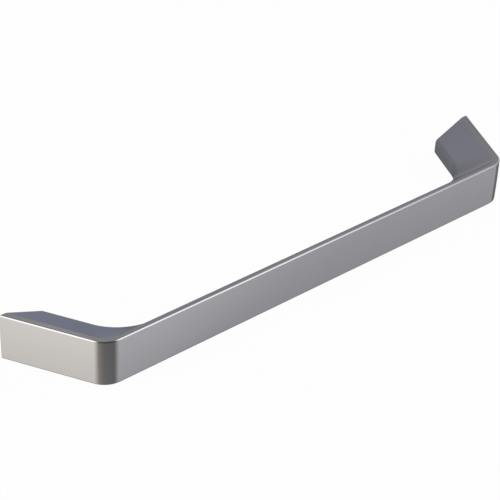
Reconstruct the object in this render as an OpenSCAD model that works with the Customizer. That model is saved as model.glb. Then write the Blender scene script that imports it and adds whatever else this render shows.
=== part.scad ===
// Furniture pull handle: a slim bar on two splayed legs, cast in one piece, with a satin metal finish.
// The origin is midway between the two screw holes, on the mounting face. X runs along the bar,
// Y points towards the furniture and Z is up, so the bar is in front of the mounting face, at -Y.

/* [Overall] */
// Distance between the centres of the two screw holes
hole_spacing = 160; // [96:32:320]
// Distance from the centre of a screw hole to the outer end of its foot
end_margin = 9; // [8:0.5:10]
// Distance from the mounting face to the front face of the bar
projection = 27.2; // [24:0.2:40]
// Height of the outer faces of the bar and of the legs
height = 13.6; // [11:0.2:20]
// Height of the narrow face on the inner side of the bar and of the legs
inner_height = 4.6; // [4.2:0.2:8]
// Angle by which each leg leans outwards on its way to its foot
splay = 26.9; // [15:0.1:32]

/* [Leg] */
// Thickness of a leg, square to its outer face
leg_thickness = 12.4; // [11:0.1:14]
// Width of the flat band on top of a leg, beside its outer face
leg_band = 1.9; // [1.4:0.1:3]

/* [Bar] */
// Thickness of the bar from its front face to its back face
bar_thickness = 6.2; // [5.4:0.1:9]
// Width of the flat band on top of the bar, beside its front face
bar_band = 1.7; // [1.4:0.1:3]

/* [Corners] */
// Radius of the outer corner between the bar and a leg, seen from above
outer_corner_r = 6.6; // [3:0.1:9]
// Radius of the same corner along the crease between the flat band and the sloping side
crease_corner_r = 7; // [3:0.1:10]
// Radius of the wide inner corner between the bar and a leg
inner_corner_r = 14.8; // [6:0.2:18]

/* [Edges] */
// Radius of the long edges of the outer faces
edge_r = 0.4; // [0.4:0.1:1.2]
// Radius that softens the crease between the flat band and the sloping side
crease_r = 1.2; // [0.6:0.1:2]
// Radius of the long edges of the narrow inner face
inner_edge_r = 1.5; // [0.5:0.1:2]
// Radius of the edge around the mounting face of each foot
rim_r = 0.25; // [0.1:0.05:0.35]

/* [Screw holes] */
// Radius of the blind hole, tapped for an M4 screw
hole_r = 1.65; // [1.25:0.05:2.1]
// Depth of the blind hole, without its conical end
hole_depth = 9; // [7:0.5:10]
// Width of the chamfer at the mouth of the hole
hole_chamfer = 0.5; // [0.2:0.1:0.8]

/* [Hidden] */

// Half length of the handle, to the outer end of a foot
foot_x = hole_spacing / 2 + end_margin;
// Distance of the outer face of a leg from the origin, square to that face
leg_line = foot_x * cos(splay);
// Height that the sloping side loses on its way from the band to the narrow inner face
slope_drop = (height - inner_height) / 2;
// Angle of the point of a drill
drill_point = 118;
// Facets in the round of an edge, of a crease, of the rim and of a corner seen from above
edge_steps = 6;
crease_steps = 4;
rim_steps = 3;
corner_steps = 24;
// Length by which a cut passes a face
over = 0.5;

// A section is a list of [depth in from the outer face, height above the middle].
// This gives its points round one corner: the sharp corner v, the radius r, the direction of the
// outward normal before and after it, and how far the whole outline is drawn in.
function round_corner(v, r, from, to, steps, inset) =
    let (half_turn = (from - to) / 2, middle = (from + to) / 2)
    let (centre = v - r / cos(half_turn) * [cos(middle), sin(middle)])
    [for (i = [0:steps]) let (n = from + (to - from) * i / steps) centre + (r - inset) * [cos(n), sin(n)]];

// Upper half of a section of the given thickness, with a flat band beside its outer face
function upper_half(thickness, band, inset) =
    let (facing = 90 - atan2(slope_drop, thickness - band))
    concat(
        round_corner([0, height / 2], edge_r, 180, 90, edge_steps, inset),
        round_corner([band, height / 2], crease_r, 90, facing, crease_steps, inset),
        round_corner([thickness, inner_height / 2], inner_edge_r, facing, 0, edge_steps, inset)
    );

// Whole section, the same above and below
function section(thickness, band, inset = 0) =
    let (upper = upper_half(thickness, band, inset))
    concat(upper, [for (i = [len(upper) - 1:-1:0]) [upper[i][0], -upper[i][1]]]);

// Radius, seen from above, with which a lengthwise line turns the corner. It depends on how deep
// in the leg the line runs: the rounds of both edges stay concentric with the corner they follow.
function turn_radius(depth) = lookup(depth, [
    [0, outer_corner_r],
    [edge_r, outer_corner_r - edge_r],
    [leg_band, crease_corner_r],
    [leg_thickness - inner_edge_r, inner_corner_r + inner_edge_r],
    [leg_thickness, inner_corner_r]
]);

// Point of a leg at a depth in from its outer face, a distance y from the mounting face and a height
function leg_point(depth, y, z) = [(leg_line - depth + y * sin(splay)) / cos(splay), y, z];

// Point of the turn between a leg and the bar, where the outward normal has the direction given
function turn_point(leg_depth, bar_depth, normal, z) =
    let (r = turn_radius(leg_depth), y = r + bar_depth - projection)
    leg_point(leg_depth + r, y, z) + r * [cos(normal), sin(normal), 0];

// Outline of a leg at a distance from the mounting face, drawn in by inset
function leg_ring(y, inset) = [for (p = section(leg_thickness, leg_band, inset)) leg_point(p[0], y, p[1])];

// Outline of the turn at a share t of the way from the leg to the bar
function turn_ring(t) =
    let (leg = section(leg_thickness, leg_band), bar = section(bar_thickness, bar_band))
    let (normal = -splay - (90 - splay) * t)
    [for (i = [0:len(leg) - 1])
        turn_point(leg[i][0], bar[i][0], normal, leg[i][1] + (bar[i][1] - leg[i][1]) * t)];

// Outlines from the mounting face of the right foot to the near end of the bar
right_rings = concat(
    [for (i = [0:rim_steps]) let (a = 90 * i / rim_steps)
        leg_ring(-rim_r * (1 - cos(a)), rim_r * (1 - sin(a)))],
    [for (i = [0:corner_steps]) turn_ring(i / corner_steps)]
);

// The same outlines for the left half, from the bar to the mounting face
left_rings = [for (i = [len(right_rings) - 1:-1:0]) [for (p = right_rings[i]) [-p[0], p[1], p[2]]]];

// Closed solid through a list of outlines that have equally many points
module loft(rings) {
    count = len(rings[0]);
    last = len(rings) - 1;
    sides = [for (j = [0:last - 1], i = [0:count - 1])
        let (a = j * count + i, b = j * count + (i + 1) % count)
        each [[a, b, b + count], [a, b + count, a + count]]];
    ends = [[for (i = [count - 1:-1:0]) i], [for (i = [0:count - 1]) last * count + i]];
    polyhedron(points = [for (ring = rings) each ring], faces = concat(sides, ends), convexity = 4);
}

// Blind screw hole that enters the mounting face, with a chamfered mouth and a drilled end
module screw_hole() {
    mouth = hole_r + hole_chamfer + over;
    tip = hole_r / tan(drill_point / 2);
    rotate([90, 0, 0])
        rotate_extrude($fn = 64)
            polygon([
                [0, -over],
                [mouth, -over],
                [hole_r, hole_chamfer],
                [hole_r, hole_depth],
                [0, hole_depth + tip]
            ]);
}

module pull_handle() {
    color([0.60, 0.59, 0.60])
        difference() {
            loft(concat(right_rings, left_rings));
            for (side = [-1, 1])
                translate([side * hole_spacing / 2, 0, 0])
                    screw_hole();
        }
}

pull_handle();
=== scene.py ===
"""Looks of a furniture pull handle: a slim bar on two splayed legs, in satin metal, on a white floor.

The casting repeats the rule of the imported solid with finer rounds, a brushed finish that follows the
bar round its corners, and a cut thread in the screw hole of each foot. Lengths are in metres.
"""

import logging
import math
from dataclasses import dataclass, fields
from enum import Enum
from typing import ClassVar, NamedTuple, Union

import bpy
from mathutils import Matrix, Vector


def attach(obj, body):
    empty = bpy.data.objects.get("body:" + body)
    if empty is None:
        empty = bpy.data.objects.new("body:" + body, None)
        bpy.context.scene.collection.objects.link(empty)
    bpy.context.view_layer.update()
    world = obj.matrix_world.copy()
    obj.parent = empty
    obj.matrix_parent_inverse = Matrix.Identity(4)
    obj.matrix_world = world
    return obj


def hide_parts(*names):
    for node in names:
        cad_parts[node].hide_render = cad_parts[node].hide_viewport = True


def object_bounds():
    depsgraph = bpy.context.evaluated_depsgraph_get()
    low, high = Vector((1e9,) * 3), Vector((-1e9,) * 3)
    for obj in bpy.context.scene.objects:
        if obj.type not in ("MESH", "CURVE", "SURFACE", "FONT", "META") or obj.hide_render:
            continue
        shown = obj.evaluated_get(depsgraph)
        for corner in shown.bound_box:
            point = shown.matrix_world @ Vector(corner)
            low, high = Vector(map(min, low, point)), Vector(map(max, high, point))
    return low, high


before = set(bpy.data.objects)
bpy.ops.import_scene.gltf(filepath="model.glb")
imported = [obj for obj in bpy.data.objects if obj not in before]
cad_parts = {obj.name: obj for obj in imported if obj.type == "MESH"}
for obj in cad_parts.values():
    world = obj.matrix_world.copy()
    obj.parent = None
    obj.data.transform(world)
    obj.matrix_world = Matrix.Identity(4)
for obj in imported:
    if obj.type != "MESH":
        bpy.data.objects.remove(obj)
CAD_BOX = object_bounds()
LOG = logging.getLogger("handle")
MM = 0.001
QUARTER_TURN = math.pi / 2
FULL_TURN = 2 * math.pi
Colour = tuple[float, float, float]
Operand = Union["Field", float]


class Finish(Enum):
    """The two surfaces of the casting."""

    SATIN = "satin_plate"
    TAPPED = "tapped_bore"


class Field:
    """A value in a node tree, for use in Python arithmetic."""

    def __init__(self, writer: "NodeWriter", socket: bpy.types.NodeSocket) -> None:
        """Wrap the output socket of a node that the writer made."""
        self.writer = writer
        self.socket = socket

    def __add__(self, other: Operand) -> "Field":
        """Sum."""
        return self.writer.math("ADD", self, other)

    def __radd__(self, other: Operand) -> "Field":
        """Sum with a number on the left."""
        return self.writer.math("ADD", other, self)

    def __sub__(self, other: Operand) -> "Field":
        """Difference."""
        return self.writer.math("SUBTRACT", self, other)

    def __rsub__(self, other: Operand) -> "Field":
        """Difference from a number."""
        return self.writer.math("SUBTRACT", other, self)

    def __mul__(self, other: Operand) -> "Field":
        """Product."""
        return self.writer.math("MULTIPLY", self, other)

    def __rmul__(self, other: Operand) -> "Field":
        """Product with a number on the left."""
        return self.writer.math("MULTIPLY", other, self)

    def __truediv__(self, other: Operand) -> "Field":
        """Quotient."""
        return self.writer.math("DIVIDE", self, other)

    def __neg__(self) -> "Field":
        """Opposite."""
        return self.writer.math("MULTIPLY", self, -1.0)


class NodeWriter:
    """Adds nodes to one tree and joins them."""

    def __init__(self, tree: bpy.types.NodeTree) -> None:
        """Start with an empty tree."""
        tree.nodes.clear()
        self.tree = tree

    def node(self, kind: str, settings: dict | None = None, **inputs: object) -> bpy.types.Node:
        """Add a node.

        Args:
            kind: The node's type.
            settings: Properties of the node, by name.
            inputs: What goes into its sockets, by the socket's name with _ for a space.

        Returns:
            The new node.
        """
        made = self.tree.nodes.new(kind)
        for name, value in (settings or {}).items():
            setattr(made, name, value)
        for name, value in inputs.items():
            self.put(made, name.replace("_", " "), value)
        return made

    def put(self, node: bpy.types.Node, socket: str | int, value: object) -> None:
        """Link a field or a socket to a node's input, or set the input's own value.

        Args:
            node: The node that takes the value.
            socket: Name or number of the input; of several inputs with one name, the first in use.
            value: A Field, an output socket or a plain value.
        """
        if isinstance(socket, str):
            target = next(s for s in node.inputs if s.name == socket and s.enabled)
        else:
            target = node.inputs[socket]
        if isinstance(value, Field):
            value = value.socket
        if isinstance(value, bpy.types.NodeSocket):
            self.tree.links.new(value, target)
        else:
            target.default_value = value

    def fill(self, node: bpy.types.Node, *values: object) -> Field:
        """Put values into a node's first inputs, in order.

        Args:
            node: The node that takes the values.
            values: Fields, output sockets or plain values.

        Returns:
            The node's first output.
        """
        for number, value in enumerate(values):
            self.put(node, number, value)
        return self.out(node)

    def out(self, node: bpy.types.Node, name: str | int = 0) -> Field:
        """Read a node's output.

        Args:
            node: The node that gives the value.
            name: Name or number of the output; of several with one name, the first in use.

        Returns:
            The output as a field.
        """
        if isinstance(name, str):
            return Field(self, next(s for s in node.outputs if s.name == name and s.enabled))
        return Field(self, node.outputs[name])

    def math(self, operation: str, *values: Operand) -> Field:
        """Add a Math node for one operation on numbers."""
        return self.fill(self.node("ShaderNodeMath", {"operation": operation}), *values)

    def sin(self, angle: Operand) -> Field:
        """Sine of an angle in radians."""
        return self.math("SINE", angle)

    def cos(self, angle: Operand) -> Field:
        """Cosine of an angle in radians."""
        return self.math("COSINE", angle)

    def share(self, value: Operand, low: Operand, high: Operand, smooth: bool = False) -> Field:
        """How far a value is from low to high, kept between 0 and 1.

        Args:
            value: The value that is looked at.
            low: Where the share is 0.
            high: Where the share is 1.
            smooth: Whether the share leaves 0 and reaches 1 gently.

        Returns:
            The share.
        """
        kind = "SMOOTHSTEP" if smooth else "LINEAR"
        made = self.node("ShaderNodeMapRange", {"interpolation_type": kind, "clamp": True})
        return self.fill(made, value, low, high, 0.0, 1.0)

    def either(self, choice: Field, yes: Operand, no: Operand) -> Field:
        """The value yes where choice is 1, and no where it is 0."""
        return choice * yes + (1.0 - choice) * no

    def pick(self, number: Field, choices: tuple[Operand, Operand, Operand]) -> Field:
        """Choose one of three values.

        Args:
            number: A whole number from 0 to 2.
            choices: The values that it points to.

        Returns:
            The value.
        """
        first = self.math("COMPARE", number, 0.0, 0.5)
        last = self.math("COMPARE", number, 2.0, 0.5)
        return first * choices[0] + last * choices[2] + (1.0 - first - last) * choices[1]

    def vector(self, x: Operand, y: Operand, z: Operand) -> Field:
        """A vector from its three parts."""
        return self.out(self.node("ShaderNodeCombineXYZ", X=x, Y=y, Z=z))

    def parts(self, vector: Field) -> tuple[Field, Field, Field]:
        """The three parts of a vector."""
        made = self.node("ShaderNodeSeparateXYZ", Vector=vector)
        return self.out(made, "X"), self.out(made, "Y"), self.out(made, "Z")

    def blend(self, share: Field, first: object, second: object) -> Field:
        """A colour from first, at share 0, to second, at share 1."""
        mix = self.node("ShaderNodeMix", {"data_type": "RGBA"}, Factor=share, A=first, B=second)
        return self.out(mix, "Result")

    def blend_shaders(self, share: Field, first: Field, second: Field) -> Field:
        """A shader from first, at share 0, to second, at share 1."""
        return self.fill(self.node("ShaderNodeMixShader"), share, first, second)

    def ray_kinds(self) -> tuple[Field, Field]:
        """Tell rays that see the background itself from rays that metal reflects.

        Returns:
            Whether the ray comes straight from the camera, and whether metal reflects it.
        """
        path = self.node("ShaderNodeLightPath")
        straight = self.out(path, "Is Camera Ray") + self.out(path, "Is Transmission Ray")
        return straight, self.out(path, "Is Glossy Ray")


def opaque(colour: Colour) -> tuple[float, float, float, float]:
    """The colour as a colour socket takes it, with full alpha."""
    return (*colour, 1.0)


def grey(level: float) -> tuple[float, float, float, float]:
    """A grey as a colour socket takes it, with full alpha."""
    return opaque((level, level, level))


def new_material(name: str) -> tuple[bpy.types.Material, NodeWriter]:
    """Make a material with an empty node tree.

    Args:
        name: The material's name.

    Returns:
        The material and the writer of its tree.
    """
    material = bpy.data.materials.new(name)
    material.use_nodes = True
    return material, NodeWriter(material.node_tree)


@dataclass
class Casting:
    """The bar and its two legs: one casting, with a tapped hole in each foot.

    Each size is a named input of the casting's node tree. The class values are the same at any size.
    """

    drill_point: ClassVar[float] = math.radians(118)
    drill_tip_radius: ClassVar[float] = 0.1 * MM
    hole_overshoot: ClassVar[float] = 0.5 * MM
    # Where the thread's flank starts and ends, as a share of half a pitch.
    thread_flank: ClassVar[tuple[float, float]] = (0.25, 0.875)
    # Bare metal reaches this far past the edge of a hole's mouth, and starts this deep.
    bore_margin: ClassVar[float] = 0.1 * MM
    mouth_margin: ClassVar[float] = 0.01 * MM
    sharp_edge: ClassVar[float] = math.radians(28)
    # Wear and painted highlight on the outer edge, the crease and the inner edge: how much paler and
    # smoother each round is.
    wear_and_sheen_by_round: ClassVar[tuple[float, float, float]] = (1.0, 0.3, 0.8)
    # Units of the UV map in a metre along the casting.
    map_scale: ClassVar[float] = 10.0

    hole_spacing: float = 160 * MM
    end_margin: float = 9 * MM
    projection: float = 27.2 * MM
    height: float = 13.6 * MM
    inner_height: float = 4.6 * MM
    splay: float = math.radians(26.9)
    leg_thickness: float = 12.4 * MM
    leg_band: float = 1.9 * MM
    bar_thickness: float = 6.2 * MM
    bar_band: float = 1.7 * MM
    outer_corner: float = 6.6 * MM
    crease_corner: float = 7 * MM
    inner_corner: float = 14.8 * MM
    edge_round: float = 0.4 * MM
    crease_round: float = 1.2 * MM
    inner_round: float = 1.5 * MM
    rim_round: float = 0.25 * MM
    crown: float = 0.08 * MM
    edge_support: float = 0.1 * MM
    hole_radius: float = 1.65 * MM
    hole_depth: float = 9 * MM
    hole_chamfer: float = 0.5 * MM
    thread_depth: float = 0.35 * MM
    thread_pitch: float = 0.7 * MM
    thread_length: float = 7.5 * MM
    face_points: int = 8
    round_steps: int = 8
    rim_steps: int = 6
    corner_steps: int = 64
    hole_points: int = 48
    pitch_steps: int = 12

    def build(self, finishes: dict[Finish, bpy.types.Material]) -> bpy.types.Object:
        """Make the casting's mesh with its node tree and dress it.

        Args:
            finishes: The material of each finish.

        Returns:
            The finished object, a plain mesh.
        """
        tree = bpy.data.node_groups.new("casting", "GeometryNodeTree")
        writer = NodeWriter(tree)
        inputs = self._add_inputs(tree, writer)
        casting = self._sweep(writer, inputs)
        holes = self._screw_holes(writer, inputs)
        exact = {"operation": "DIFFERENCE", "solver": "EXACT"}
        cut = writer.node("GeometryNodeMeshBoolean", exact, Mesh_1=casting, Mesh_2=holes)
        self._finish_tree(writer, inputs, writer.out(cut, "Mesh"), finishes)
        return self._evaluate(tree)

    def _add_inputs(self, tree: bpy.types.NodeTree, writer: NodeWriter) -> dict[str, Field]:
        """Give the tree one named input for each size.

        Args:
            tree: The casting's tree.
            writer: The writer of that tree.

        Returns:
            The inputs as fields, by the name of the size.
        """
        for size in fields(self):
            kind = "NodeSocketInt" if size.type is int else "NodeSocketFloat"
            label = size.name.replace("_", " ").capitalize()
            tree.interface.new_socket(label, in_out="INPUT", socket_type=kind)
        tree.interface.new_socket("Geometry", in_out="OUTPUT", socket_type="NodeSocketGeometry")
        entry = writer.node("NodeGroupInput")
        return {size.name: writer.out(entry, number) for number, size in enumerate(fields(self))}

    def _tube(self, writer: NodeWriter, around: Operand, along: Operand) -> Field:
        """Sweep a closed ring of points along a line of points, with both ends filled.

        Each point of the result carries its number round the ring and along the line.

        Args:
            writer: The tree's writer.
            around: Points in the ring.
            along: Rings along the line.

        Returns:
            The tube, ready to be put in shape.
        """
        line = writer.node("GeometryNodeMeshLine", Count=along)
        path = writer.node("GeometryNodeMeshToCurve", Mesh=writer.out(line))
        ring = writer.node("GeometryNodeCurvePrimitiveCircle", Resolution=around)
        numbered = []
        for curve, name in ((path, "along"), (ring, "around")):
            store = writer.node(
                "GeometryNodeStoreNamedAttribute",
                {"data_type": "FLOAT", "domain": "POINT"},
                Geometry=writer.out(curve),
                Name=name,
                Value=writer.out(writer.node("GeometryNodeInputIndex")),
            )
            numbered.append(writer.out(store))
        curve, profile = numbered
        tube = writer.node(
            "GeometryNodeCurveToMesh", Curve=curve, Profile_Curve=profile, Fill_Caps=True
        )
        return writer.out(tube)

    def _number(self, writer: NodeWriter, name: str) -> Field:
        """The number that a point carries under that name."""
        read = writer.node("GeometryNodeInputNamedAttribute", {"data_type": "FLOAT"}, Name=name)
        return writer.out(read, "Attribute")

    def _shape(self, writer: NodeWriter, geometry: Field, position: Field) -> Field:
        """Move every point to a position."""
        moved = writer.node("GeometryNodeSetPosition", Geometry=geometry, Position=position)
        return writer.out(moved)

    def _store(
        self, writer: NodeWriter, geometry: Field, name: str, kind: str, domain: str, value: Field
    ) -> Field:
        """Keep a value on the mesh under a name.

        Args:
            writer: The tree's writer.
            geometry: The mesh.
            name: Name of the attribute.
            kind: Its data type.
            domain: What carries it, points or face corners.
            value: The value.

        Returns:
            The mesh with the attribute.
        """
        store = writer.node(
            "GeometryNodeStoreNamedAttribute",
            {"data_type": kind, "domain": domain},
            Geometry=geometry,
            Name=name,
            Value=value,
        )
        return writer.out(store)

    def _round_points(self, given: dict[str, Field]) -> Field:
        """Points of one round of the section: its own, and one on the flat before and after it."""
        return given["round_steps"] + 1.0 + 2.0

    def _section_place(self, writer: NodeWriter, given: dict[str, Field]) -> dict[str, Field]:
        """Work out where on the section a point lies, from its number round the ring.

        The upper half starts on the outer face and then has three rounds: the outer edge, the crease
        and the inner edge. The lower half is the same, in reverse.

        Args:
            writer: The tree's writer.
            given: The tree's inputs.

        Returns:
            side, 1 above and -1 below; on_face, 1 on the outer face; face_share, how far up the
            outer face; turn, which round, 0 to 2; share, how far round it; and beyond, -1 and 1 on
            the points before and after it.
        """
        number = self._number(writer, "around")
        group = self._round_points(given)
        half = given["face_points"] + 3.0 * group
        upper = writer.math("LESS_THAN", number, half - 0.5)
        place = writer.either(upper, number, 2.0 * half - 1.0 - number)
        after_face = place - given["face_points"]
        turn = writer.math("FLOOR", (after_face + 0.5) / group)
        turn = writer.math("MAXIMUM", turn, 0.0)
        step = after_face - turn * group - 1.0
        kept = writer.math("MINIMUM", writer.math("MAXIMUM", step, 0.0), given["round_steps"])
        return {
            "side": 2.0 * upper - 1.0,
            "on_face": writer.math("LESS_THAN", after_face, -0.5),
            "face_share": (place + 0.5) / given["face_points"],
            "turn": turn,
            "share": kept / given["round_steps"],
            "beyond": step - kept,
        }

    def _section(
        self,
        writer: NodeWriter,
        given: dict[str, Field],
        place: dict[str, Field],
        thickness: Field,
        band: Field,
    ) -> dict[str, Field]:
        """Write the outline of the leg or of the bar.

        Args:
            writer: The tree's writer.
            given: The tree's inputs.
            place: The point's place on the section.
            thickness: From the outer face to the inner face.
            band: Width of the flat band beside the outer face.

        Returns:
            depth in from the outer face, height above the middle, and the two parts of the outward
            normal, out and up.
        """
        top = given["height"] / 2.0
        low = given["inner_height"] / 2.0
        slope = writer.math("ARCTAN2", top - low, thickness - band)
        facing = QUARTER_TURN - slope
        corner_depth = writer.pick(place["turn"], (0.0, band, thickness))
        corner_height = writer.pick(place["turn"], (top, top, low))
        radius = writer.pick(
            place["turn"], (given["edge_round"], given["crease_round"], given["inner_round"])
        )
        start = writer.pick(place["turn"], (math.pi, QUARTER_TURN, facing))
        stop = writer.pick(place["turn"], (QUARTER_TURN, facing, 0.0))
        normal = start + (stop - start) * place["share"]
        middle = (start + stop) / 2.0
        reach = radius / writer.cos((start - stop) / 2.0)
        out, up = writer.cos(normal), writer.sin(normal)
        along = place["beyond"] * given["edge_support"]
        depth = corner_depth - reach * writer.cos(middle) + radius * out + along * up
        height = corner_height - reach * writer.sin(middle) + radius * up - along * out
        on_face = place["on_face"]
        face_height = (top - given["edge_round"]) * place["face_share"]
        return {
            "depth": writer.either(on_face, 0.0, depth),
            "height": writer.either(on_face, face_height, height) * place["side"],
            "out": writer.either(on_face, -1.0, out),
            "up": writer.either(on_face, 0.0, up) * place["side"],
        }

    def _turn_radius(self, writer: NodeWriter, given: dict[str, Field], depth: Field) -> Field:
        """Radius with which a lengthwise line turns the corner, seen from above.

        Args:
            writer: The tree's writer.
            given: The tree's inputs.
            depth: How deep in the leg the line runs.

        Returns:
            The radius. The rounds of both edges stay concentric with the corner they follow.
        """
        edge, inner = given["edge_round"], given["inner_round"]
        in_edge = writer.share(depth, 0.0, edge)
        in_band = writer.share(depth, edge, given["leg_band"])
        inner_start = given["leg_thickness"] - inner
        in_slope = writer.share(depth, given["leg_band"], inner_start)
        in_inner = writer.share(depth, inner_start, given["leg_thickness"])
        after_edge = given["outer_corner"] - edge
        after_slope = given["inner_corner"] + inner
        return (
            given["outer_corner"]
            - in_edge * edge
            + in_band * (given["crease_corner"] - after_edge)
            + in_slope * (after_slope - given["crease_corner"])
            - in_inner * inner
        )

    def _sweep(self, writer: NodeWriter, given: dict[str, Field]) -> Field:
        """Write the solid casting, before its holes are cut.

        The section runs straight up each leg, then turns into the bar while the sloping side narrows
        and steepens. The points also keep their place on the casting as if it were straightened,
        which the brushed finish follows, and how much paler and smoother the finish is there: wear
        on the rounds of the edges and the foot's rim, with a painted highlight along them.

        Args:
            writer: The tree's writer.
            given: The tree's inputs.

        Returns:
            The casting's mesh.
        """
        around = 2.0 * (given["face_points"] + 3.0 * self._round_points(given))
        # Half of the rings: one on the foot inside its rim, then those of the rim and of the turn.
        half_count = given["rim_steps"] + given["corner_steps"] + 3.0
        tube = self._tube(writer, around, 2.0 * half_count)

        number = self._number(writer, "along")
        right = writer.math("LESS_THAN", number, half_count - 0.5)
        side = 2.0 * right - 1.0
        ring = writer.either(right, number, 2.0 * half_count - 1.0 - number)
        on_foot = writer.math("LESS_THAN", ring, 0.5)
        rim_step = writer.math("MAXIMUM", ring - 1.0, 0.0)
        rim_step = writer.math("MINIMUM", rim_step, given["rim_steps"])
        rim_angle = rim_step / given["rim_steps"] * QUARTER_TURN
        inset = given["rim_round"] * (1.0 - writer.sin(rim_angle)) + on_foot * given["edge_support"]
        rim_drop = given["rim_round"] * (1.0 - writer.cos(rim_angle))
        turn_step = ring - given["rim_steps"] - 2.0
        in_turn = writer.math("GREATER_THAN", turn_step, -0.5)
        turned = writer.math("MAXIMUM", turn_step, 0.0) / given["corner_steps"]

        place = self._section_place(writer, given)
        leg = self._section(writer, given, place, given["leg_thickness"], given["leg_band"])
        bar = self._section(writer, given, place, given["bar_thickness"], given["bar_band"])
        lean = writer.sin(given["splay"])
        upright = writer.cos(given["splay"])
        leg_line = (given["hole_spacing"] / 2.0 + given["end_margin"]) * upright

        height = leg["height"] + (bar["height"] - leg["height"]) * turned
        steep = leg["height"] / (given["height"] / 2.0)
        crowned = given["crown"] * steep * steep * (
            1.0 - writer.share(leg["depth"], 0.0, given["leg_band"])
        )
        radius = self._turn_radius(writer, given, leg["depth"])
        centre_y = radius + bar["depth"] - given["projection"]
        centre_x = (leg_line - leg["depth"] - radius + centre_y * lean) / upright
        sweep_angle = QUARTER_TURN - given["splay"]
        facing = -given["splay"] - sweep_angle * turned
        turn_x = centre_x + (radius - crowned) * writer.cos(facing)
        turn_y = centre_y + (radius - crowned) * writer.sin(facing)
        foot_depth = leg["depth"] + crowned - inset * leg["out"]
        foot_x = (leg_line - foot_depth - rim_drop * lean) / upright
        x = writer.either(in_turn, turn_x, foot_x) * side
        y = writer.either(in_turn, turn_y, -rim_drop)
        z = writer.either(in_turn, height, leg["height"] - inset * leg["up"])
        shaped = self._shape(writer, tube, writer.vector(x, y, z))

        leg_start = centre_y - radius * lean
        leg_run = writer.math("MAXIMUM", y - leg_start, 0.0) / upright
        run = side * (centre_x + radius * sweep_angle * (1.0 - turned) + leg_run)
        shaped = self._store(
            writer, shaped, "straightened", "FLOAT_VECTOR", "POINT",
            writer.vector(run, leg["depth"], height),
        )
        shaped = self._store(
            writer, shaped, "UVMap", "FLOAT2", "CORNER",
            writer.vector(run * self.map_scale, self._number(writer, "around") / around, 0.0),
        )
        # Edge rounds and the foot's rim get a paler, smoother finish: partly wear, partly a painted
        # highlight along the edges.
        on_round = (1.0 - place["on_face"]) * writer.sin(place["share"] * math.pi)
        sharp = writer.pick(place["turn"], self.wear_and_sheen_by_round)
        on_rim = 1.0 - writer.share(ring, 1.0, given["rim_steps"] + 1.0)
        worn = writer.math("MAXIMUM", on_round * sharp, on_rim * (1.0 - on_foot))
        return self._store(writer, shaped, "worn", "FLOAT", "POINT", worn)

    def _screw_holes(self, writer: NodeWriter, given: dict[str, Field]) -> Field:
        """Write the solids that the two screw holes take out of the feet, threads included.

        Args:
            writer: The tree's writer.
            given: The tree's inputs.

        Returns:
            Both solids as one mesh.
        """
        step = given["thread_pitch"] / given["pitch_steps"]
        rows = writer.math("CEIL", (given["hole_depth"] + self.hole_overshoot) / step) + 2.0
        tube = self._tube(writer, given["hole_points"], rows)
        row = self._number(writer, "along")
        angle = self._number(writer, "around") / given["hole_points"] * FULL_TURN
        depth = writer.math("MINIMUM", row * step - self.hole_overshoot, given["hole_depth"])
        turns = writer.math("FRACT", depth / given["thread_pitch"] - angle / FULL_TURN)
        rise = 1.0 - writer.math("ABSOLUTE", 2.0 * turns - 1.0)
        cut = writer.share(rise, *self.thread_flank)
        runs_out = 1.0 - writer.share(
            depth, given["thread_length"], given["thread_length"] + given["thread_pitch"]
        )
        threaded = given["hole_radius"] + given["thread_depth"] * cut * runs_out
        chamfered = given["hole_radius"] + given["hole_chamfer"] - depth
        radius = writer.math("MAXIMUM", threaded, chamfered)
        at_tip = writer.math("GREATER_THAN", row, rows - 1.5)
        tip_drop = (given["hole_radius"] - self.drill_tip_radius) / math.tan(self.drill_point / 2)
        radius = writer.either(at_tip, self.drill_tip_radius, radius)
        depth = depth + at_tip * tip_drop
        position = writer.vector(radius * writer.cos(angle), -depth, radius * writer.sin(angle))
        hole = self._shape(writer, tube, position)
        feet = writer.node(
            "GeometryNodeMeshLine",
            {"mode": "OFFSET"},
            Count=2,
            Start_Location=writer.vector(given["hole_spacing"] / -2.0, 0.0, 0.0),
            Offset=writer.vector(given["hole_spacing"], 0.0, 0.0),
        )
        placed = writer.node(
            "GeometryNodeInstanceOnPoints", Points=writer.out(feet), Instance=hole
        )
        real = writer.node("GeometryNodeRealizeInstances", Geometry=writer.out(placed))
        return writer.out(real)

    def _finish_tree(
        self,
        writer: NodeWriter,
        given: dict[str, Field],
        mesh: Field,
        finishes: dict[Finish, bpy.types.Material],
    ) -> None:
        """Write the shading of the edges and the two finishes, and end the tree.

        Args:
            writer: The tree's writer.
            given: The tree's inputs.
            mesh: The casting with its holes.
            finishes: The material of each finish.
        """
        faces = writer.node("GeometryNodeSetShadeSmooth", {"domain": "FACE"}, Geometry=mesh)
        angle = writer.out(writer.node("GeometryNodeInputMeshEdgeAngle"), "Unsigned Angle")
        edges = writer.node(
            "GeometryNodeSetShadeSmooth",
            {"domain": "EDGE"},
            Geometry=writer.out(faces),
            Selection=writer.math("GREATER_THAN", angle, self.sharp_edge),
            Shade_Smooth=False,
        )
        x, y, z = writer.parts(writer.out(writer.node("GeometryNodeInputPosition")))
        off_axis = writer.math("ABSOLUTE", x) - given["hole_spacing"] / 2.0
        reach = writer.math("SQRT", off_axis * off_axis + z * z)
        mouth = given["hole_radius"] + given["hole_chamfer"]
        near = writer.math("LESS_THAN", reach, mouth + self.bore_margin)
        in_bore = near * writer.math("LESS_THAN", y, -self.mouth_margin)
        real = writer.node("GeometryNodeRealizeInstances", Geometry=writer.out(edges))
        plate = writer.node(
            "GeometryNodeSetMaterial",
            Geometry=writer.out(real), Material=finishes[Finish.SATIN],
        )
        bore = writer.node(
            "GeometryNodeSetMaterial",
            Geometry=writer.out(plate), Selection=in_bore, Material=finishes[Finish.TAPPED],
        )
        writer.put(writer.node("NodeGroupOutput"), 0, writer.out(bore))

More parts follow.
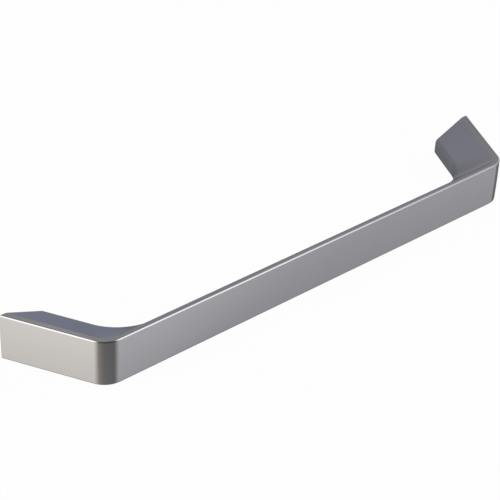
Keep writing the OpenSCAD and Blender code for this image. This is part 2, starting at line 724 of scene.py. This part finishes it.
    def _evaluate(self, tree: bpy.types.NodeTree) -> bpy.types.Object:
        """Run the tree with this casting's sizes and keep its result as a plain mesh.

        Args:
            tree: The casting's tree.

        Returns:
            The object with the result.
        """
        start = bpy.data.objects.new("casting_start", bpy.data.meshes.new("casting_start"))
        bpy.context.scene.collection.objects.link(start)
        modifier = start.modifiers.new("casting", "NODES")
        modifier.node_group = tree
        sockets = [s for s in tree.interface.items_tree if s.in_out == "INPUT"]
        for size, socket in zip(fields(self), sockets):
            modifier[socket.identifier] = getattr(self, size.name)
        graph = bpy.context.evaluated_depsgraph_get()
        evaluated = start.evaluated_get(graph)
        mesh = bpy.data.meshes.new_from_object(evaluated, depsgraph=graph)
        start.modifiers.remove(modifier)
        bpy.data.objects.remove(start)
        mesh.name = "pull_handle_casting"
        made = bpy.data.objects.new("pull_handle_casting", mesh)
        bpy.context.scene.collection.objects.link(made)
        return made


@dataclass(frozen=True)
class SatinPlate:
    """Satin plating, brushed finely along the bar and up the legs.

    Its tone mixes fine brushed lines, coarser lines and soft clouds, and is paler on the rounds of the
    edges: partly wear, partly a painted highlight.
    """

    colour: Colour = (0.58, 0.565, 0.583)
    pale: Colour = (0.604, 0.589, 0.607)
    tone_range: tuple[float, float] = (0.3, 0.7)
    cloud_in_tone: float = 0.45
    # Share of the tone that goes paler on the edge rounds: wear with a painted highlight.
    wear_and_sheen_in_tone: float = 0.2
    roughness: float = 0.18
    line_roughness: float = 0.05
    cloud_roughness: float = 0.03
    wear_polish: float = 0.03
    anisotropy: float = 0.6
    # Turn of the widened highlight from the casting's length to across it, as a share of a full turn.
    brush_turn: float = 0.25
    lines_per_metre: float = 5200.0
    line_length: float = 0.03
    # Cells of the coarser lines along and across, as a share of those of the fine lines.
    coarse_cells: tuple[float, float] = (0.6, 0.16)
    # Cells of the clouds in a metre along the casting, in depth and in height.
    cloud_cells: tuple[float, float, float] = (45.0, 130.0, 130.0)
    line_detail: float = 2.0
    cloud_detail: float = 3.0
    noise_roughness: float = 0.55
    line_relief: float = 0.6 * 0.001 * MM
    relief_strength: float = 0.35

    def build(self) -> bpy.types.Material:
        """Write the plating's material.

        Returns:
            The material.
        """
        material, writer = new_material(Finish.SATIN.value)
        place = writer.out(
            writer.node("ShaderNodeAttribute", {"attribute_name": "straightened"}), "Vector"
        )
        worn = writer.out(writer.node("ShaderNodeAttribute", {"attribute_name": "worn"}), "Fac")
        along, across = 1.0 / self.line_length, self.lines_per_metre
        lines = self._noise(writer, place, (along, across, across), self.line_detail)
        along, across = along * self.coarse_cells[0], across * self.coarse_cells[1]
        coarse = self._noise(writer, place, (along, across, across), self.line_detail)
        cloud = self._noise(writer, place, self.cloud_cells, self.cloud_detail)

        tone = (lines * 0.5 + coarse * 0.5) * (1 - self.cloud_in_tone) + cloud * self.cloud_in_tone
        tone = writer.share(tone, *self.tone_range)
        # Paler tone on the edge rounds and the foot's rim: partly wear, partly a painted highlight
        # along the edges.
        tone = tone * (1 - self.wear_and_sheen_in_tone) + worn * self.wear_and_sheen_in_tone
        rough = self.roughness + (lines - 0.5) * self.line_roughness
        rough = rough + (cloud - 0.5) * self.cloud_roughness - worn * self.wear_polish
        bump = writer.node(
            "ShaderNodeBump",
            Strength=self.relief_strength, Distance=self.line_relief, Height=lines,
        )
        tangent = writer.node("ShaderNodeTangent", {"direction_type": "UV_MAP", "uv_map": "UVMap"})
        shader = writer.node(
            "ShaderNodeBsdfPrincipled",
            Metallic=1.0,
            Base_Color=writer.blend(tone, opaque(self.colour), opaque(self.pale)),
            Roughness=rough,
            Anisotropic=self.anisotropy,
            Anisotropic_Rotation=self.brush_turn,
            Tangent=writer.out(tangent),
            Normal=writer.out(bump),
        )
        writer.node("ShaderNodeOutputMaterial", Surface=writer.out(shader))
        return material

    def _noise(
        self, writer: NodeWriter, place: Field, cells: tuple[float, float, float], detail: float
    ) -> Field:
        """Noise that is stretched along the casting.

        Args:
            writer: The material's writer.
            place: The point's place on the straightened casting.
            cells: Cells a metre along the casting, in depth and in height.
            detail: Octaves of finer noise.

        Returns:
            The noise, about 0.5.
        """
        mapping = writer.node(
            "ShaderNodeMapping", {"vector_type": "POINT"}, Vector=place, Scale=cells
        )
        noise = writer.node(
            "ShaderNodeTexNoise",
            Vector=writer.out(mapping), Scale=1.0, Detail=detail, Roughness=self.noise_roughness,
        )
        return writer.out(noise)


@dataclass(frozen=True)
class TappedBore:
    """Bare metal in the screw holes, where drill and tap cut through the plating."""

    colour: Colour = (0.42, 0.42, 0.44)
    shaded: Colour = (0.3, 0.3, 0.31)
    roughness: float = 0.38
    grain_roughness: float = 0.1
    grain_cells: float = 2500.0
    grain_detail: float = 3.0
    grain_relief: float = 0.01 * MM
    relief_strength: float = 0.3

    def build(self) -> bpy.types.Material:
        """Write the bore's material.

        Returns:
            The material.
        """
        material, writer = new_material(Finish.TAPPED.value)
        place = writer.out(writer.node("ShaderNodeTexCoord"), "Object")
        noise = writer.node(
            "ShaderNodeTexNoise", Vector=place, Scale=self.grain_cells, Detail=self.grain_detail
        )
        grain = writer.out(noise)
        bump = writer.node(
            "ShaderNodeBump",
            Strength=self.relief_strength, Distance=self.grain_relief, Height=grain,
        )
        shader = writer.node(
            "ShaderNodeBsdfPrincipled",
            Metallic=1.0,
            Base_Color=writer.blend(grain, opaque(self.shaded), opaque(self.colour)),
            Roughness=self.roughness + (grain - 0.5) * self.grain_roughness,
            Normal=writer.out(bump),
        )
        writer.node("ShaderNodeOutputMaterial", Surface=writer.out(shader))
        return material


class Height(Enum):
    """The heights at which a wall has a light of its own."""

    LOW = "low"
    MIDDLE = "middle"
    HIGH = "high"


class Wall(NamedTuple):
    """Light of the room in one direction, which fades into the next wall's.

    Attributes:
        azimuth: Direction seen from above, in degrees from +X towards +Y.
        low: Strength below the handle.
        middle: Strength level with the handle.
        high: Strength above the handle.
        blue: How much more blue than green is in the light, below and level with the handle.
        blue_above: How much more blue than green is in the light above the handle.
    """

    azimuth: float
    low: float
    middle: float
    high: float
    blue: float
    blue_above: float


# Two sides are bright: the left leg's face mirrors 158 to 194 degrees, the bar's face 289 to 334.
ROOM = (
    Wall(0, 0.05, 0.20, 0.90, 0.03, 0.02),
    Wall(22, 0.02, 0.15, 0.78, 0.04, 0.02),
    Wall(36, 0.02, 0.04, 0.30, 0.10, 0.03),
    Wall(47, 0.03, 0.165, 0.30, 0.46, 0.02),
    Wall(51, 0.03, 0.19, 0.22, 0.46, 0.00),
    Wall(56, 0.05, 0.23, 0.46, 0.28, -0.02),
    Wall(62, 0.04, 0.07, 0.27, 0.20, 0.05),
    Wall(70, 0.03, 0.13, 0.268, 0.22, 0.17),
    Wall(90, 0.135, 0.155, 0.225, 0.22, 0.11),
    Wall(130, 0.20, 0.25, 0.40, 0.00, 0.00),
    Wall(158, 0.54, 1.78, 1.90, -0.08, -0.02),
    Wall(184, 0.56, 1.85, 2.10, -0.08, -0.02),
    Wall(194, 0.44, 1.25, 0.60, -0.11, -0.02),
    Wall(206, 0.31, 0.12, 0.01, -0.18, 0.00),
    Wall(230, 0.175, 0.00, 0.00, -0.05, 0.00),
    Wall(278, 0.125, 0.00, 0.00, 0.00, 0.00),
    Wall(289, 0.20, 0.60, 0.01, 0.00, 0.00),
    Wall(300, 0.30, 1.10, 2.10, 0.01, 0.02),
    Wall(308, 0.28, 1.23, 2.60, 0.03, 0.03),
    Wall(314, 0.16, 0.78, 2.20, 0.05, 0.03),
    Wall(321, 0.122, 0.82, 0.50, 0.065, 0.03),
    Wall(328, 0.13, 0.69, 0.24, 0.08, 0.04),
    Wall(334, 0.22, 1.15, 0.28, 0.05, 0.03),
    Wall(343, 0.05, 0.18, 0.55, 0.05, 0.03),
)


@dataclass
class Studio:
    """Grey room with bright walls, a white floor and backdrop, and the photograph's camera.

    Heights are the upward part of a direction of length 1.
    """

    floor_size: float = 6.0
    floor_white: float = 0.95
    backdrop_share: float = 0.975
    white_in_metal: float = 0.05
    brightest: float = 2.6
    blue_for_red: float = 3.0
    ceiling: float = 0.22
    heights: tuple[float, float, float] = (-0.8, -0.12, 0.58)
    ceiling_heights: tuple[float, float] = (0.78, 0.97)
    camera_place: tuple[float, float, float] = (-0.267983, -0.282046, 0.241312)
    camera_right: tuple[float, float, float] = (0.745554, -0.665188, 0.040911)
    camera_up: tuple[float, float, float] = (0.334877, 0.426995, 0.83996)
    focal_length: float = 114.288
    sensor_width: float = 36.0
    nearest: float = 0.01

    def build(self) -> None:
        """Make the world, the floor and the camera."""
        self._world()
        self._floor()
        self._camera()

    def _walls(self, writer: NodeWriter, azimuth: Field, height: Height) -> Field:
        """The light of the walls all round, at one height.

        Args:
            writer: The world's writer.
            azimuth: Direction as a share of a full turn from +X, seen from above.
            height: Which of each wall's strengths counts.

        Returns:
            The colour, as a share of the brightest light.
        """
        ramp = writer.node("ShaderNodeValToRGB", Fac=azimuth)
        elements = ramp.color_ramp.elements
        closed = [*ROOM, ROOM[0]._replace(azimuth=360)]
        while len(elements) < len(closed):
            elements.new(1.0)
        for element, wall in zip(elements, closed):
            element.position = wall.azimuth / 360
            level = getattr(wall, height.value) / self.brightest
            blue = wall.blue_above if height is Height.HIGH else wall.blue
            element.color = opaque(
                (level * (1 - blue / self.blue_for_red), level, level * (1 + blue))
            )
        return writer.out(ramp, "Color")

    def _world(self) -> None:
        """The room that lights the handle, behind a white background.

        The camera sees the background only, and the metal reflects little of it.
        """
        world = bpy.data.worlds.new("studio")
        bpy.context.scene.world = world
        world.use_nodes = True
        writer = NodeWriter(world.node_tree)
        direction = writer.out(writer.node("ShaderNodeTexCoord"), "Generated")
        x, y, z = writer.parts(direction)
        turn = writer.math("FRACT", writer.math("ARCTAN2", y, x) / FULL_TURN)
        low, middle, high = (self._walls(writer, turn, height) for height in Height)
        bottom, level, top = self.heights
        light = writer.blend(writer.share(z, bottom, level), low, middle)
        light = writer.blend(writer.share(z, level, top), light, high)
        overhead = writer.share(z, *self.ceiling_heights, smooth=True)
        light = writer.blend(overhead, light, grey(self.ceiling / self.brightest))
        room = writer.node("ShaderNodeBackground", Color=light, Strength=self.brightest)
        white = writer.node("ShaderNodeBackground", Color=grey(1.0), Strength=1.0)
        straight, reflected = writer.ray_kinds()
        white_share = straight + reflected * self.white_in_metal
        seen = writer.blend_shaders(white_share, writer.out(room), writer.out(white))
        writer.node("ShaderNodeOutputWorld", Surface=seen)

    def _floor(self) -> None:
        """A white floor under the handle that keeps its shadow.

        In the photograph the metal reflects the grey room more than the white floor, so most of
        the floor is clear to the rays that metal reflects.
        """
        level = CAD_BOX[0].z
        half = self.floor_size / 2
        mesh = bpy.data.meshes.new("floor")
        corners = ((-half, -half), (half, -half), (half, half), (-half, half))
        mesh.from_pydata([(x, y, level) for x, y in corners], [], [(0, 1, 2, 3)])
        floor = bpy.data.objects.new("floor", mesh)
        bpy.context.scene.collection.objects.link(floor)
        material, writer = new_material("white_floor")
        matt = writer.node("ShaderNodeBsdfDiffuse", Color=grey(self.floor_white))
        glow = writer.node("ShaderNodeEmission", Strength=1.0)
        clear = writer.node("ShaderNodeBsdfTransparent")
        straight, reflected = writer.ray_kinds()
        glow_share = (straight + reflected) * self.backdrop_share
        white = writer.blend_shaders(glow_share, writer.out(matt), writer.out(glow))
        clear_share = reflected * (1.0 - self.white_in_metal)
        mixed = writer.blend_shaders(clear_share, white, writer.out(clear))
        writer.node("ShaderNodeOutputMaterial", Surface=mixed)
        mesh.materials.append(material)

    def _camera(self) -> None:
        """The camera, where the edges of the handle run as in the photograph."""
        data = bpy.data.cameras.new("camera")
        data.lens = self.focal_length
        data.sensor_width = self.sensor_width
        data.clip_start = self.nearest
        camera = bpy.data.objects.new("camera", data)
        bpy.context.scene.collection.objects.link(camera)
        right = Vector(self.camera_right).normalized()
        back = right.cross(Vector(self.camera_up)).normalized()
        up = back.cross(right)
        turn = Matrix((right, up, back)).transposed()
        camera.matrix_world = Matrix.Translation(self.camera_place) @ turn.to_4x4()
        bpy.context.scene.camera = camera


def main() -> None:
    """Build the studio and the handle, and report each piece."""
    logging.basicConfig(level=logging.INFO, format="%(message)s")
    bpy.context.scene.view_settings.view_transform = "Standard"
    Studio().build()
    LOG.info("studio: world, floor and camera")
    finishes = {Finish.SATIN: SatinPlate().build(), Finish.TAPPED: TappedBore().build()}
    casting = Casting().build(finishes)
    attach(casting, "root")
    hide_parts("pull_handle")
    mesh = casting.data
    LOG.info("%s: %d points, %d faces", casting.name, len(mesh.vertices), len(mesh.polygons))


if __name__ == "__main__":
    main()
